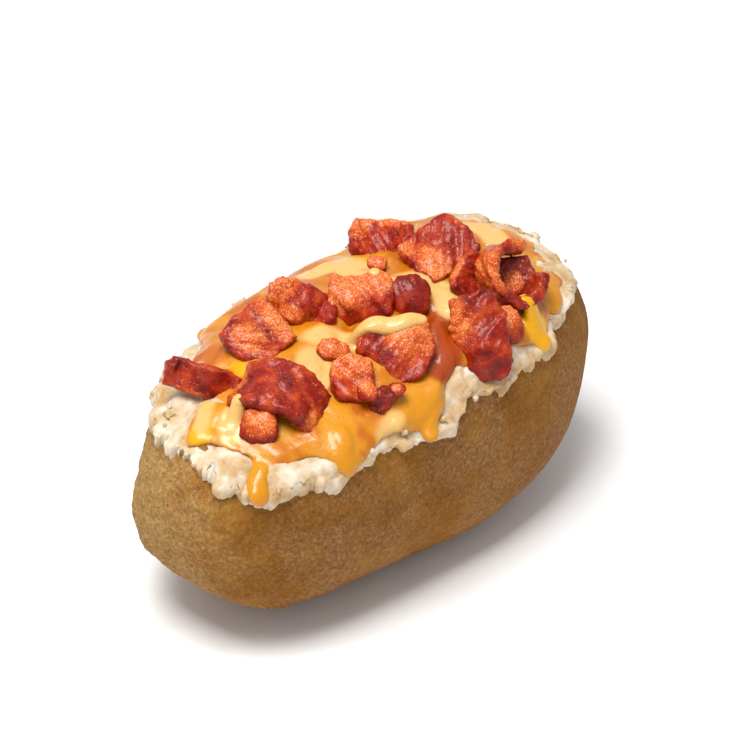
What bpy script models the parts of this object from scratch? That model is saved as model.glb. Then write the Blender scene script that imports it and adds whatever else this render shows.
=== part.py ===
"""A baked potato, opened along the top, fluffed, and loaded with cheese sauce and bacon.

The potato lies along X and rests on a small flat spot. Its far, blunter end is at +X.
The skin is a thin shell with an opening on top. The fluffed flesh fills it and swells out
over the lip, the cheese sauce lies over the flesh with drips that run down its edge, and
each curled piece of bacon is pressed into the sauce.
"""
import math
from collections import namedtuple

import bmesh
import bpy
from mathutils import Euler, Vector, noise
from mathutils.bvhtree import BVHTree

MM = 0.001

# The potato: a blunt oval, fuller towards +X, with its middle bowed towards +Y.
LENGTH = 131 * MM
WIDTH = 70 * MM
HEIGHT = 68 * MM
BLUNT = 2.45          # 2 is an ellipse, more is squarer
WIDER = 0.105         # how much wider than the middle the +X end is, as a share
TALLER = 0.06
BOW = 1.0 * MM
TILT_UP = 0.6 * MM    # the +X end sits this much higher
REST_CUT = 1.0 * MM   # how much the flat spot under the potato takes off

# Swellings and hollows of this one potato: place, reach and height, in millimetres.
Bulge = namedtuple("Bulge", "x y z reach rise")
BULGES = (
    Bulge(58, -18, 48, 18, 1.4),
    Bulge(54, -26, 27, 16, -0.8),
    Bulge(37, -29, 12, 18, 1.5),
    Bulge(11, -29, 9, 20, 1.9),
    Bulge(-20, -25, 8, 18, -0.7),
    Bulge(-47, -18, 12, 16, 2.0),
    Bulge(-61, 0, 17, 14, -1.4),
    Bulge(-61, 15, 28, 14, 2.0),
    Bulge(-56, 19, 39, 14, -1.9),
    Bulge(24, 28, 56, 20, -2.0),
)

# The skin.
SKIN_THICK = 2.8 * MM
SKIN_COLUMNS = 36
SPHERE_ROWS = 24
SKIN_ROWS = 16        # rows of the sphere that lie below the lip
LIP_ABOVE_FLESH_EDGE = math.radians(4.0)

# The fluffed flesh.
FLESH_COLUMNS = 40
FLESH_ROWS_BELOW = 5
FLESH_ROWS = 16
FLESH_EDGE = math.radians(30.0)          # height of its lower edge, as an angle
FLESH_EDGE_HIGHER_AT_ENDS = math.radians(5.0)
EDGE_STEP = math.radians(4.0)
OVERHANG = 1.7 * MM
MOUND = 0.6           # the mound's height over the edge, against the uncut potato's
CLEAR_INSIDE = 0.7 * MM
CLUMP_SIZE = 8.0 * MM
CLUMP_HIGH = 1.1 * MM

# Lobes and notches of an edge: direction and half-width in degrees, and how far the edge
# moves up (or, where negative, down), also in degrees.
Lobe = namedtuple("Lobe", "around rise width")
FLESH_LOBES = (
    Lobe(-145, -6, 18),
    Lobe(-110, 4, 4),
    Lobe(-83, 5, 10),
    Lobe(-52, 3, 12),
    Lobe(100, 5, 10),
    Lobe(60, 4, 6),
)

# The cheese sauce.
SAUCE_COLUMNS = 60
SAUCE_ROWS = 12
SAUCE_EDGE = math.radians(43.0)
SAUCE_THICK = 1.9 * MM
SAUCE_DEEP = 2.0 * MM
SAUCE_RIM = 0.55      # its thickness at the rim, as a share of SAUCE_THICK
SAUCE_SWELL = 3.0     # how fast it swells from the rim to its full thickness
SAUCE_LOBES = (
    Lobe(178, -4, 8),       # pool at the near end
    Lobe(-142, -20, 5),     # long drip, past the edge of the flesh
    Lobe(-120, -17, 6),
    Lobe(-101, -20, 7),
    Lobe(-88, 6, 6),
    Lobe(-61, -13, 7),
    Lobe(-40, -6, 14),
    Lobe(-5, -3, 10),
    Lobe(38, -12, 6),
    Lobe(78, -17, 6),
    Lobe(112, -14, 7),
    Lobe(146, -4, 8),
)

# Bacon. Places are in millimetres and angles in degrees. turn is the heading, the rise
# and the roll of the piece's length. curl bends it along its length and cup across it,
# with the hollow side up where positive. wave is height, count and phase; ends are the
# widths of the two ends as shares of the middle.
Bacon = namedtuple("Bacon", "at turn size curl cup twist wave ends")
FLAT = (0, 1, 0)
BACON = (
    Bacon((22.9, 15.3, 65.2), (-61, 4, 34), (18, 12, 3.0), 115, 10, 20, FLAT, (0.8, 0.8)),
    Bacon((25.8, -0.8, 68.6), (-91, -21, 19), (14.5, 18, 3.4), -20, 20, 0, (0.3, 1, 0), (0.95, 0.95)),
    Bacon((24.6, -11.7, 66.5), (19, 27, 44), (13, 8, 3.0), 30, 0, 0, FLAT, (0.85, 0.85)),
    Bacon((30.8, -19.1, 66.3), (100, 47, 74), (38, 10, 2.8), 305, 12, 0, FLAT, (0.8, 0.6)),
    Bacon((13.2, -26.1, 61.5), (-114, -49, 25), (22, 13.5, 4.0), -45, -75, 10, (0.6, 1.5, 0), (0.8, 0.6)),
    Bacon((23, -25.7, 59.5), (-95, -45, 32), (9, 7, 4.0), -60, -60, 0, FLAT, (0.7, 0.7)),
    Bacon((-10.9, 9.6, 65.2), (-69, -20, 39), (17.5, 10.5, 4.0), -30, -60, 10, (1.2, 2, 90), (0.75, 0.8)),
    Bacon((0.5, 0.8, 65.5), (-44, 2, 43), (16, 13, 4.0), 0, -120, 0, FLAT, (0.92, 0.92)),
    Bacon((9.4, -6.1, 65.2), (-60, -15, 46), (10, 10, 4.5), -80, -90, 0, FLAT, (0.75, 0.75)),
    Bacon((-26.3, 8.7, 64.6), (-10, 25, 31), (14.5, 14.5, 3.6), -20, -20, 10, (0.5, 1, 0), (0.95, 0.95)),
    Bacon((-43.9, 8.2, 61.4), (-55, -14, 57), (18.5, 8, 3.0), 20, 10, -15, (1.3, 1.4, 90), (0.95, 0.8)),
    Bacon((-36, -8.1, 61.6), (-66, -6, 16), (28, 14.5, 3.2), -160, 10, 0, FLAT, (0.9, 0.85)),
    Bacon((-44.4, -10.3, 58.2), (-52, -8, 53), (9, 8, 4.0), -40, -70, 0, FLAT, (0.7, 0.7)),
    Bacon((-6.1, -17.2, 62.8), (62, 40, -12), (16.5, 17.5, 3.6), -15, -50, 0, FLAT, (0.35, 1.0)),
    Bacon((-19.9, -15.9, 60.8), (-46, 0, 31), (10.5, 12, 5.5), -20, -25, 0, FLAT, (0.85, 0.85)),
    Bacon((-18.7, -24.1, 58.9), (6, 41, 38), (7.5, 5, 3.6), 30, -40, 0, FLAT, (0.8, 0.8)),
    Bacon((-15.8, -5.9, 62.4), (-57, -10, 42), (8, 5.5, 3.4), -30, -40, 0, FLAT, (0.75, 0.75)),
)
BACON_STEP_ALONG = 3.0      # millimetres between rows of faces
BACON_STEP_ACROSS = 3.6
BACON_TAPER = 2.5           # the higher, the nearer to its ends a piece narrows

GAP = 0.35 * MM             # kept between neighbours that touch
ROOM_SPREAD = 1.0           # degrees kept clear round an edge
LIP_ROOM = math.radians(0.8)
RING_SLACK = 0.01           # radians, when asking which ring of a sphere a corner is on
WELD = 0.002 * MM
LEAST_LEFT = 0.1            # a cut that leaves less than this share has failed


def clear_scene():
    """Start from an empty scene."""
    for thing in list(bpy.data.objects):
        bpy.data.objects.remove(thing, do_unlink=True)


def new_collection(name):
    """A collection linked to the scene."""
    group = bpy.data.collections.new(name)
    bpy.context.scene.collection.children.link(group)
    return group


def food_material(name, colour, roughness):
    """A Principled material with one colour and roughness."""
    material = bpy.data.materials.new(name)
    material.use_nodes = True
    shader = material.node_tree.nodes["Principled BSDF"]
    shader.inputs["Base Color"].default_value = (*colour, 1.0)
    shader.inputs["Roughness"].default_value = roughness
    material.diffuse_color = (*colour, 1.0)
    return material


def add_object(name, mesh_data, group, material=None):
    """Turn a bmesh into a named object."""
    mesh = bpy.data.meshes.new(name)
    mesh_data.to_mesh(mesh)
    mesh_data.free()
    thing = bpy.data.objects.new(name, mesh)
    group.objects.link(thing)
    if material:
        mesh.materials.append(material)
    return thing


def add_cutter(name, mesh_data, group):
    """An object that only cuts, drawn as wire and never rendered."""
    cutter = add_object(name, mesh_data, group)
    cutter.hide_render = True
    cutter.display_type = "WIRE"
    return cutter


def apply_modifiers(thing):
    """Replace an object's mesh with its evaluated one."""
    graph = bpy.context.evaluated_depsgraph_get()
    graph.update()
    result = bpy.data.meshes.new_from_object(thing.evaluated_get(graph))
    thing.modifiers.clear()
    thing.data = result


def volume_of(mesh):
    """The volume inside a mesh, or zero where it isn't closed."""
    mesh_data = bmesh.new()
    mesh_data.from_mesh(mesh)
    closed = all(edge.is_manifold for edge in mesh_data.edges)
    volume = mesh_data.calc_volume(signed=True) if closed else 0.0
    mesh_data.free()
    return volume


def keep_largest_body(thing):
    """Drop the crumbs that a cut leaves beside the main body."""
    mesh_data = bmesh.new()
    mesh_data.from_mesh(thing.data)
    bmesh.ops.remove_doubles(mesh_data, verts=mesh_data.verts, dist=WELD)
    unseen = set(mesh_data.verts)
    bodies = []
    while unseen:
        body = set()
        front = [unseen.pop()]
        while front:
            vertex = front.pop()
            body.add(vertex)
            for edge in vertex.link_edges:
                other = edge.other_vert(vertex)
                if other in unseen:
                    unseen.remove(other)
                    front.append(other)
        bodies.append(body)
    largest = max(bodies, key=len)
    loose = [vertex for vertex in mesh_data.verts if vertex not in largest]
    bmesh.ops.delete(mesh_data, geom=loose, context="VERTS")
    mesh_data.to_mesh(thing.data)
    mesh_data.free()


def surface_of(thing):
    """A search tree of an object's evaluated surface, in world space."""
    graph = bpy.context.evaluated_depsgraph_get()
    graph.update()
    mesh = thing.evaluated_get(graph).data
    corners = [thing.matrix_world @ vertex.co for vertex in mesh.vertices]
    return BVHTree.FromPolygons(corners, [tuple(face.vertices) for face in mesh.polygons])


def cut_by(thing, cutters):
    """Cut an object by those of the cutters that it meets."""
    for cutter in cutters:
        if not surface_of(thing).overlap(surface_of(cutter)):
            continue
        whole = thing.data
        for solver in ("EXACT", "MANIFOLD"):
            cut = thing.modifiers.new("cut", "BOOLEAN")
            cut.operation = "DIFFERENCE"
            cut.solver = solver
            cut.object = cutter
            apply_modifiers(thing)
            if LEAST_LEFT * volume_of(whole) < volume_of(thing.data) < volume_of(whole):
                break
            thing.data = whole
        else:
            raise ValueError(f"{cutter.name} could not be cut from {thing.name}")
    keep_largest_body(thing)


def solidify(thing, thickness, offset):
    """Give an open surface its thickness."""
    wall = thing.modifiers.new("thickness", "SOLIDIFY")
    wall.thickness = thickness
    wall.offset = offset
    wall.use_even_offset = True


def potato_point(around, up, grow=0.0):
    """The skin's surface in a direction given by two angles, moved outwards by grow."""
    x = math.cos(up) * math.cos(around)
    y = math.cos(up) * math.sin(around)
    z = math.sin(up)
    reach = (abs(x) ** BLUNT + abs(y) ** BLUNT + abs(z) ** BLUNT) ** (-1 / BLUNT)
    along = x * reach
    point = Vector((
        (LENGTH / 2 + grow) * along,
        (WIDTH / 2 + grow) * y * reach * (1 + WIDER * along) + BOW * (1 - along * along),
        HEIGHT / 2 + (HEIGHT / 2 + grow) * z * reach * (1 + TALLER * along) + TILT_UP * along,
    ))
    middle = Vector((0, 0, HEIGHT / 2))
    for bulge in BULGES:
        away = (point - Vector(bulge[:3]) * MM).length / (bulge.reach * MM)
        point += (point - middle).normalized() * bulge.rise * MM * math.exp(-away * away)
    point.z = max(point.z - REST_CUT, -grow)
    return point


def lobed(around, lobes, wider=0.0):
    """The sum of the lobes of an edge in one direction, in radians."""
    total = 0.0
    for lobe in lobes:
        apart = math.remainder(around - math.radians(lobe.around), math.tau)
        total += lobe.rise * math.exp(-((math.degrees(apart) / (lobe.width + wider)) ** 2))
    return math.radians(total)


def flesh_edge(around):
    """How high the lower edge of the flesh is in one direction."""
    return FLESH_EDGE + FLESH_EDGE_HIGHER_AT_ENDS * math.cos(2 * around) + lobed(around, FLESH_LOBES)


def mound_point(around, up, grow=0.0):
    """The outer surface of the fluffed flesh, above its edge."""
    edge = flesh_edge(around)
    point = potato_point(around, up, OVERHANG)
    rim = potato_point(around, edge, OVERHANG)
    point.z = rim.z + (point.z - rim.z) * MOUND
    middle = Vector((0, 0, HEIGHT / 2))
    clump = noise.noise(point / CLUMP_SIZE) * CLUMP_HIGH
    return point + (point - middle).normalized() * (clump + grow)


def sphere_cage(columns, rows):
    """A unit sphere whose rings run from the bottom to the top."""
    mesh_data = bmesh.new()
    bmesh.ops.create_uvsphere(mesh_data, u_segments=columns, v_segments=rows, radius=1.0)
    return mesh_data


def fix_diagonals(mesh_data):
    """Split every face the same way, so that a surface and the room round it match."""
    bmesh.ops.triangulate(mesh_data, faces=mesh_data.faces, quad_method="FIXED")
    return mesh_data


def angles_of(vertex):
    """The direction of a unit sphere's vertex as two angles."""
    up = math.asin(max(-1.0, min(1.0, vertex.co.z)))
    return math.atan2(vertex.co.y, vertex.co.x), up


def skin_surface(grow=0.0, higher=0.0):
    """The open surface of the skin, from the flat spot to the lip."""
    mesh_data = sphere_cage(SKIN_COLUMNS, SPHERE_ROWS)
    top_ring = -math.pi / 2 + math.pi * SKIN_ROWS / SPHERE_ROWS
    cap = [vertex for vertex in mesh_data.verts if angles_of(vertex)[1] > top_ring + RING_SLACK]
    bmesh.ops.delete(mesh_data, geom=cap, context="VERTS")
    for vertex in mesh_data.verts:
        around, up = angles_of(vertex)
        lip = flesh_edge(around) + LIP_ABOVE_FLESH_EDGE + higher
        share = (up + math.pi / 2) / (top_ring + math.pi / 2)
        vertex.co = potato_point(around, -math.pi / 2 + share * (lip + math.pi / 2), grow)
    return fix_diagonals(mesh_data)


def flesh_blob(grow=0.0, lower=0.0):
    """The flesh before the skin is taken from it: inside the skin, then over its lip.

    The room kept clear round it also has its lower edge moved down, by an angle.
    """
    mesh_data = sphere_cage(FLESH_COLUMNS, FLESH_ROWS)
    last_below = -math.pi / 2 + math.pi * FLESH_ROWS_BELOW / FLESH_ROWS
    first_above = last_below + math.pi / FLESH_ROWS
    for vertex in mesh_data.verts:
        around, up = angles_of(vertex)
        edge = flesh_edge(around)
        if up < last_below + RING_SLACK:
            share = (up + math.pi / 2) / (last_below + math.pi / 2)
            low = -math.pi / 2 + share * (edge - lower - EDGE_STEP + math.pi / 2)
            vertex.co = potato_point(around, low, -SKIN_THICK - CLEAR_INSIDE + grow)
        elif up < first_above + RING_SLACK:
            vertex.co = mound_point(around, edge - lower, grow)
        else:
            share = (up - first_above) / (math.pi / 2 - first_above)
            vertex.co = mound_point(around, edge + share * (math.pi / 2 - edge), grow)
    return fix_diagonals(mesh_data)


def sauce_cap(grow=0.0, spread=0.0):
    """The sauce before the flesh and the skin are taken from it, spread by some degrees.

    The upper half of a sphere becomes its top and the lower half its underside.
    """
    mesh_data = sphere_cage(SAUCE_COLUMNS, SAUCE_ROWS)
    for vertex in mesh_data.verts:
        around, up = angles_of(vertex)
        edge = SAUCE_EDGE - math.radians(spread) + lobed(around, SAUCE_LOBES, spread)
        share = abs(up) / (math.pi / 2)
        place = edge + share * (math.pi / 2 - edge)
        if up < -RING_SLACK:
            vertex.co = mound_point(around, place, -SAUCE_DEEP)
        else:
            rounded = min(1.0, SAUCE_RIM + SAUCE_SWELL * share)
            vertex.co = mound_point(around, place, SAUCE_THICK * rounded + GAP + grow)
    return fix_diagonals(mesh_data)


def bacon_sheet(piece, extra=0.0):
    """The middle sheet of one piece, curled, cupped, twisted and ruffled."""
    length = piece.size[0] + extra
    width = piece.size[1] + extra
    along_count = max(4, round(length / BACON_STEP_ALONG))
    across_count = max(3, round(width / BACON_STEP_ACROSS))
    curl = math.radians(piece.curl)
    cup = math.radians(piece.cup)
    mesh_data = bmesh.new()
    bmesh.ops.create_grid(mesh_data, x_segments=along_count, y_segments=across_count, size=0.5)
    for vertex in mesh_data.verts:
        along = vertex.co.x
        end = piece.ends[0] if along < 0 else piece.ends[1]
        across = vertex.co.y * width * (1 - (1 - end) * abs(2 * along) ** BACON_TAPER)
        side, height = across, 0.0
        if cup:
            side = width / cup * math.sin(across * cup / width)
            height = width / cup * (1 - math.cos(across * cup / width))
        twist = math.radians(piece.twist) * along
        side, height = (side * math.cos(twist) - height * math.sin(twist),
                        side * math.sin(twist) + height * math.cos(twist))
        wave_high, wave_count, wave_phase = piece.wave
        height += wave_high * math.sin(math.tau * wave_count * along + math.radians(wave_phase))
        forward, rise = along * length, 0.0
        if curl:
            forward = length / curl * math.sin(curl * along)
            rise = length / curl * (1 - math.cos(curl * along))
        vertex.co = (forward - height * math.sin(curl * along), side,
                     rise + height * math.cos(curl * along))
    centre = sum((vertex.co for vertex in mesh_data.verts), Vector()) / len(mesh_data.verts)
    for vertex in mesh_data.verts:
        vertex.co = (vertex.co - centre) * MM
    return fix_diagonals(mesh_data)


def bacon_solid(name, piece, group, material, extra=0.0):
    """One piece as a solid, placed on the potato. extra grows it all round."""
    if material:
        thing = add_object(name, bacon_sheet(piece, 2 * extra / MM), group, material)
    else:
        thing = add_cutter(name, bacon_sheet(piece, 2 * extra / MM), group)
    heading, rise, roll = (math.radians(angle) for angle in piece.turn)
    thing.rotation_euler = Euler((roll, -rise, heading), "XYZ")
    thing.location = Vector(piece.at) * MM
    solidify(thing, piece.size[2] * MM + 2 * extra, 0.0)
    bpy.context.view_layer.update()
    return thing


def centre_over_origin(pieces, carrier):
    """Carry all pieces by an empty that puts the middle of their box over the origin."""
    graph = bpy.context.evaluated_depsgraph_get()
    graph.update()
    corners = []
    for piece in pieces:
        evaluated = piece.evaluated_get(graph)
        corners += [piece.matrix_world @ vertex.co for vertex in evaluated.data.vertices]
        piece.parent = carrier
    for axis in (0, 1):
        values = [corner[axis] for corner in corners]
        carrier.location[axis] = -(min(values) + max(values)) / 2
    carrier.location[2] = -min(corner[2] for corner in corners)


def build():
    """Make the whole potato."""
    clear_scene()
    parts = new_collection("loaded_baked_potato")
    cutters = new_collection("cutters")
    skin_brown = food_material("russet_skin", (0.28, 0.14, 0.05), 0.75)
    flesh_white = food_material("potato_flesh", (0.86, 0.76, 0.58), 0.6)
    cheese_orange = food_material("cheese_sauce", (0.78, 0.36, 0.07), 0.25)
    bacon_red = food_material("crisp_bacon", (0.48, 0.08, 0.04), 0.35)

    jacket = add_object("potato_jacket", skin_surface(), parts, skin_brown)
    solidify(jacket, SKIN_THICK, -1.0)
    jacket_room = add_cutter("jacket_room", skin_surface(GAP, LIP_ROOM), cutters)
    solidify(jacket_room, SKIN_THICK + 2 * GAP, -1.0)

    flesh = add_object("fluffed_flesh", flesh_blob(), parts, flesh_white)
    cut_by(flesh, [jacket_room])
    flesh_room = add_cutter("flesh_room", flesh_blob(GAP, math.radians(ROOM_SPREAD)), cutters)

    sauce = add_object("cheese_sauce", sauce_cap(), parts, cheese_orange)
    cut_by(sauce, [flesh_room, jacket_room])
    sauce_room = add_cutter("sauce_room", sauce_cap(GAP, ROOM_SPREAD), cutters)

    bacon_pieces = []
    bacon_rooms = []
    for number, piece in enumerate(BACON, start=1):
        strip = bacon_solid(f"bacon_{number:02d}", piece, parts, bacon_red)
        apply_modifiers(strip)
        cut_by(strip, [flesh_room, sauce_room] + bacon_rooms)
        bacon_pieces.append(strip)
        bacon_rooms.append(bacon_solid(f"bacon_room_{number:02d}", piece, cutters, None, GAP))

    carrier = bpy.data.objects.new("potato_origin", None)
    parts.objects.link(carrier)
    centre_over_origin([jacket, flesh, sauce] + bacon_pieces, carrier)


build()
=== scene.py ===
# %% [markdown]
# # A loaded baked potato
# A russet potato, baked in its skin, split along the top and fluffed up with a fork.
# Cheese sauce runs over the fluffed flesh, and curled pieces of crisp bacon lie in it.
# The solid model gives the size and the place of every piece. This lesson gives each one
# its real surface: the grain of the skin, the crumbs of the flesh, the flow of the sauce
# and the blisters of the bacon.

# %% Frame
import math
from collections import namedtuple

import bmesh
import bpy
import numpy as np
from mathutils import Euler, Matrix, Vector
from mathutils.bvhtree import BVHTree


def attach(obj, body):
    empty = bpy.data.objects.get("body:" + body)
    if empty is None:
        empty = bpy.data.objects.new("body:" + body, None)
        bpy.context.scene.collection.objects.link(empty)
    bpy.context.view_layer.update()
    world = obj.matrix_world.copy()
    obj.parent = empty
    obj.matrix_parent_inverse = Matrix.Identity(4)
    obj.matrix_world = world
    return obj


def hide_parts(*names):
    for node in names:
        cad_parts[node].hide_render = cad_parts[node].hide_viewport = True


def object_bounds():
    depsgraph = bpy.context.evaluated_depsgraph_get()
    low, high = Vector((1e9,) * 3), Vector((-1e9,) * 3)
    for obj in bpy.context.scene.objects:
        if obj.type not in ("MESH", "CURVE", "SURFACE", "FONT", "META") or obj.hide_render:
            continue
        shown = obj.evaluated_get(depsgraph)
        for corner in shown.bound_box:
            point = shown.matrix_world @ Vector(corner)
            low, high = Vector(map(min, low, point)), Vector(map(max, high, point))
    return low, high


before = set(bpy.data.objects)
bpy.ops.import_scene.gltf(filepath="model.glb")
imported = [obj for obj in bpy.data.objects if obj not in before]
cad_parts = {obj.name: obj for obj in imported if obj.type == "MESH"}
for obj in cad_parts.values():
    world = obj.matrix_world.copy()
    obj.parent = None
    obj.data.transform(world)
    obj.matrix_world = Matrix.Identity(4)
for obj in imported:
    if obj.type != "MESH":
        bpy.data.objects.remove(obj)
cad_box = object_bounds()
MM = 0.001
print("solids:", len(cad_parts), "box:", cad_box)

# %% [markdown]
# ## Small helpers
# Colours are written as sRGB hex, as a paint chart or a colour picker gives them, and one
# function turns them to the linear values that the shader works in. One more adds a node
# with its settings and its links, so that a whole material reads like a list.


# %% Colours, nodes and meshes
def linear(hex_colour):
    """An sRGB hex colour as linear RGBA."""
    channels = [int(hex_colour[i:i + 2], 16) / 255 for i in (1, 3, 5)]
    return (*[c / 12.92 if c <= 0.04045 else ((c + 0.055) / 1.055) ** 2.4 for c in channels], 1.0)


def add_node(tree, kind, settings=None, **inputs):
    """Add a node. settings are its properties, inputs its values or links."""
    node = tree.nodes.new(kind)
    for name, value in (settings or {}).items():
        setattr(node, name, value)
    for name, value in inputs.items():
        key = int(name[1:]) if name[0] == "_" and name[1:].isdigit() else name.replace("_", " ")
        socket = node.inputs[key]
        if isinstance(value, bpy.types.NodeSocket):
            tree.links.new(value, socket)
        else:
            socket.default_value = value
    return node


def new_material(name):
    """An empty node material with its Principled shader."""
    material = bpy.data.materials.new(name)
    material.use_nodes = True
    tree = material.node_tree
    return material, tree, tree.nodes["Principled BSDF"]


def grid_faces(rows, columns, around=True):
    """The quads of a grid of rows by columns, closed on itself around where asked."""
    r, c = np.meshgrid(np.arange(rows - 1), np.arange(columns if around else columns - 1), indexing="ij")
    c2 = (c + 1) % columns
    quads = np.stack([r * columns + c, r * columns + c2, (r + 1) * columns + c2, (r + 1) * columns + c], -1)
    return quads.reshape(-1, 4)


def add_mesh(name, points, faces, material=None, smooth=True):
    """A mesh object at the origin from points and faces."""
    mesh = bpy.data.meshes.new(name)
    mesh.from_pydata([tuple(p) for p in points], [], [tuple(int(i) for i in f) for f in faces])
    mesh.validate()
    if smooth:
        mesh.polygons.foreach_set("use_smooth", [True] * len(mesh.polygons))
    thing = bpy.data.objects.new(name, mesh)
    bpy.context.scene.collection.objects.link(thing)
    if material:
        mesh.materials.append(material)
    return thing


def points_of(thing):
    """All corners of an object's mesh as an array."""
    flat = np.empty(len(thing.data.vertices) * 3)
    thing.data.vertices.foreach_get("co", flat)
    return flat.reshape(-1, 3)


def finish_mesh(thing):
    """Turn an object's modifiers into its plain mesh."""
    graph = bpy.context.evaluated_depsgraph_get()
    graph.update()
    mesh = bpy.data.meshes.new_from_object(thing.evaluated_get(graph), depsgraph=graph)
    thing.modifiers.clear()
    thing.data = mesh
    return thing


def run_tree(thing, tree, **values):
    """Give an object a Geometry Nodes tree with its named inputs, and keep the result."""
    modifier = thing.modifiers.new(tree.name, "NODES")
    modifier.node_group = tree
    for item in tree.interface.items_tree:
        if item.item_type == "SOCKET" and item.in_out == "INPUT" and item.name in values:
            modifier[item.identifier] = values[item.name]
    return finish_mesh(thing)


def new_tree(name, **inputs):
    """A Geometry Nodes tree with a mesh in, a mesh out and named inputs with defaults."""
    tree = bpy.data.node_groups.new(name, "GeometryNodeTree")
    tree.interface.new_socket("Geometry", in_out="INPUT", socket_type="NodeSocketGeometry")
    kinds = {float: "NodeSocketFloat", int: "NodeSocketInt", bpy.types.Material: "NodeSocketMaterial"}
    for label, value in inputs.items():
        kind = next(socket for type_, socket in kinds.items() if isinstance(value, type_))
        socket = tree.interface.new_socket(label, in_out="INPUT", socket_type=kind)
        socket.default_value = value
    tree.interface.new_socket("Geometry", in_out="OUTPUT", socket_type="NodeSocketGeometry")
    return tree, tree.nodes.new("NodeGroupInput"), tree.nodes.new("NodeGroupOutput")


def surface_of(*things):
    """One search tree over several objects' meshes."""
    corners, faces = [], []
    for thing in things:
        start = len(corners)
        corners += [tuple(p) for p in points_of(thing)]
        faces += [tuple(start + i for i in face.vertices) for face in thing.data.polygons]
    return BVHTree.FromPolygons(corners, faces)


# %% [markdown]
# ## Camera, floor and light
# The potato is seen from above and from its near end with a long lens, so that it keeps its
# true proportions. A white floor and one big soft light from behind on the left give the
# pale studio look: light tops, a darker near side and a soft grey shadow to the right.

# %% Camera
low, high = (Vector(corner) for corner in cad_box)
CAMERA_AROUND = math.radians(46.0)      # how far the near side is turned from -Y towards -X
CAMERA_UP = math.radians(37.0)
CAMERA_AWAY = 0.70
FOCAL_PIXELS = 2875.6                   # focal length for an image 740 wide
AIM = Vector((-0.0001, -0.0006, 0.033))
to_camera = Vector((-math.sin(CAMERA_AROUND) * math.cos(CAMERA_UP),
                    -math.cos(CAMERA_AROUND) * math.cos(CAMERA_UP), math.sin(CAMERA_UP)))
lens_right = Vector((math.cos(CAMERA_AROUND), -math.sin(CAMERA_AROUND), 0))
lens_up = to_camera.cross(lens_right)
camera_data = bpy.data.cameras.new("camera")
camera_data.sensor_width = 36.0
camera_data.lens = 36.0 * FOCAL_PIXELS / 740
camera_data.shift_x = (370 - 362.5) / 740
camera_data.shift_y = (411.8 - 370) / 740
camera = bpy.data.objects.new("camera", camera_data)
turn = Matrix((lens_right, lens_up, to_camera)).transposed().to_4x4()
camera.matrix_world = Matrix.Translation(AIM + to_camera * CAMERA_AWAY) @ turn
bpy.context.scene.collection.objects.link(camera)
bpy.context.scene.camera = camera
print("camera at", [round(c, 3) for c in camera.location])

# %% Floor and light
floor = add_mesh("floor", [(-3, -3, 0), (3, -3, 0), (3, 3, 0), (-3, 3, 0)], [(0, 1, 2, 3)])
floor_white, tree, shader = new_material("painted_studio_floor")
shader.inputs["Base Color"].default_value = linear("#f4f4f4")
shader.inputs["Roughness"].default_value = 0.9
shader.inputs["Specular IOR Level"].default_value = 0.1
floor.data.materials.append(floor_white)


def add_light(name, place, size, power, colour="#ffffff"):
    """A soft square light aimed at the middle of the potato."""
    data = bpy.data.lights.new(name, "AREA")
    data.shape = "SQUARE"
    data.size = size
    data.energy = power
    data.color = linear(colour)[:3]
    light = bpy.data.objects.new(name, data)
    light.location = AIM + Vector(place)
    light.rotation_euler = (-Vector(place)).to_track_quat("-Z", "Y").to_euler()
    bpy.context.scene.collection.objects.link(light)
    return light


key = add_light("key", (-0.215, 0.0, 0.81), 0.42, 8.8, "#fffdfa")
world = bpy.data.worlds.new("studio")
bpy.context.scene.world = world
world.use_nodes = True
world.node_tree.nodes["Background"].inputs["Color"].default_value = linear("#fafcff")
world.node_tree.nodes["Background"].inputs["Strength"].default_value = 0.54
bpy.context.scene.view_settings.view_transform = "Standard"
print("light:", key.data.energy, "W")

# %% [markdown]
# ## The shape of the potato
# A potato is a blunt oval with a few swellings and hollows, and every other piece follows
# it: the lip of the skin, the mound of flesh and the sauce are all found from one direction
# (an angle around and an angle up) on that oval. So the oval is one function, with the same
# named values as the solid model, and it works on whole arrays of directions at once.

# %% Potato oval
LENGTH = 131 * MM
WIDTH = 70 * MM
HEIGHT = 68 * MM
BLUNT = 2.45
WIDER = 0.105
TALLER = 0.06
BOW = 1.0 * MM
TILT_UP = 0.6 * MM
REST_CUT = 1.0 * MM
Bulge = namedtuple("Bulge", "x y z reach rise")
BULGES = (
    Bulge(58, -18, 48, 18, 1.4), Bulge(54, -26, 27, 16, -0.8), Bulge(37, -29, 12, 18, 1.5),
    Bulge(11, -29, 9, 20, 1.9), Bulge(-20, -25, 8, 18, -0.7), Bulge(-47, -18, 12, 16, 2.0),
    Bulge(-61, 0, 17, 14, -1.4), Bulge(-61, 15, 28, 14, 2.0), Bulge(-56, 19, 39, 14, -1.9),
    Bulge(24, 28, 56, 20, -2.0),
)
MIDDLE = np.array((0, 0, HEIGHT / 2))
SHIFT = np.array((-0.0858, -0.591, 0.0)) * MM


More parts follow.
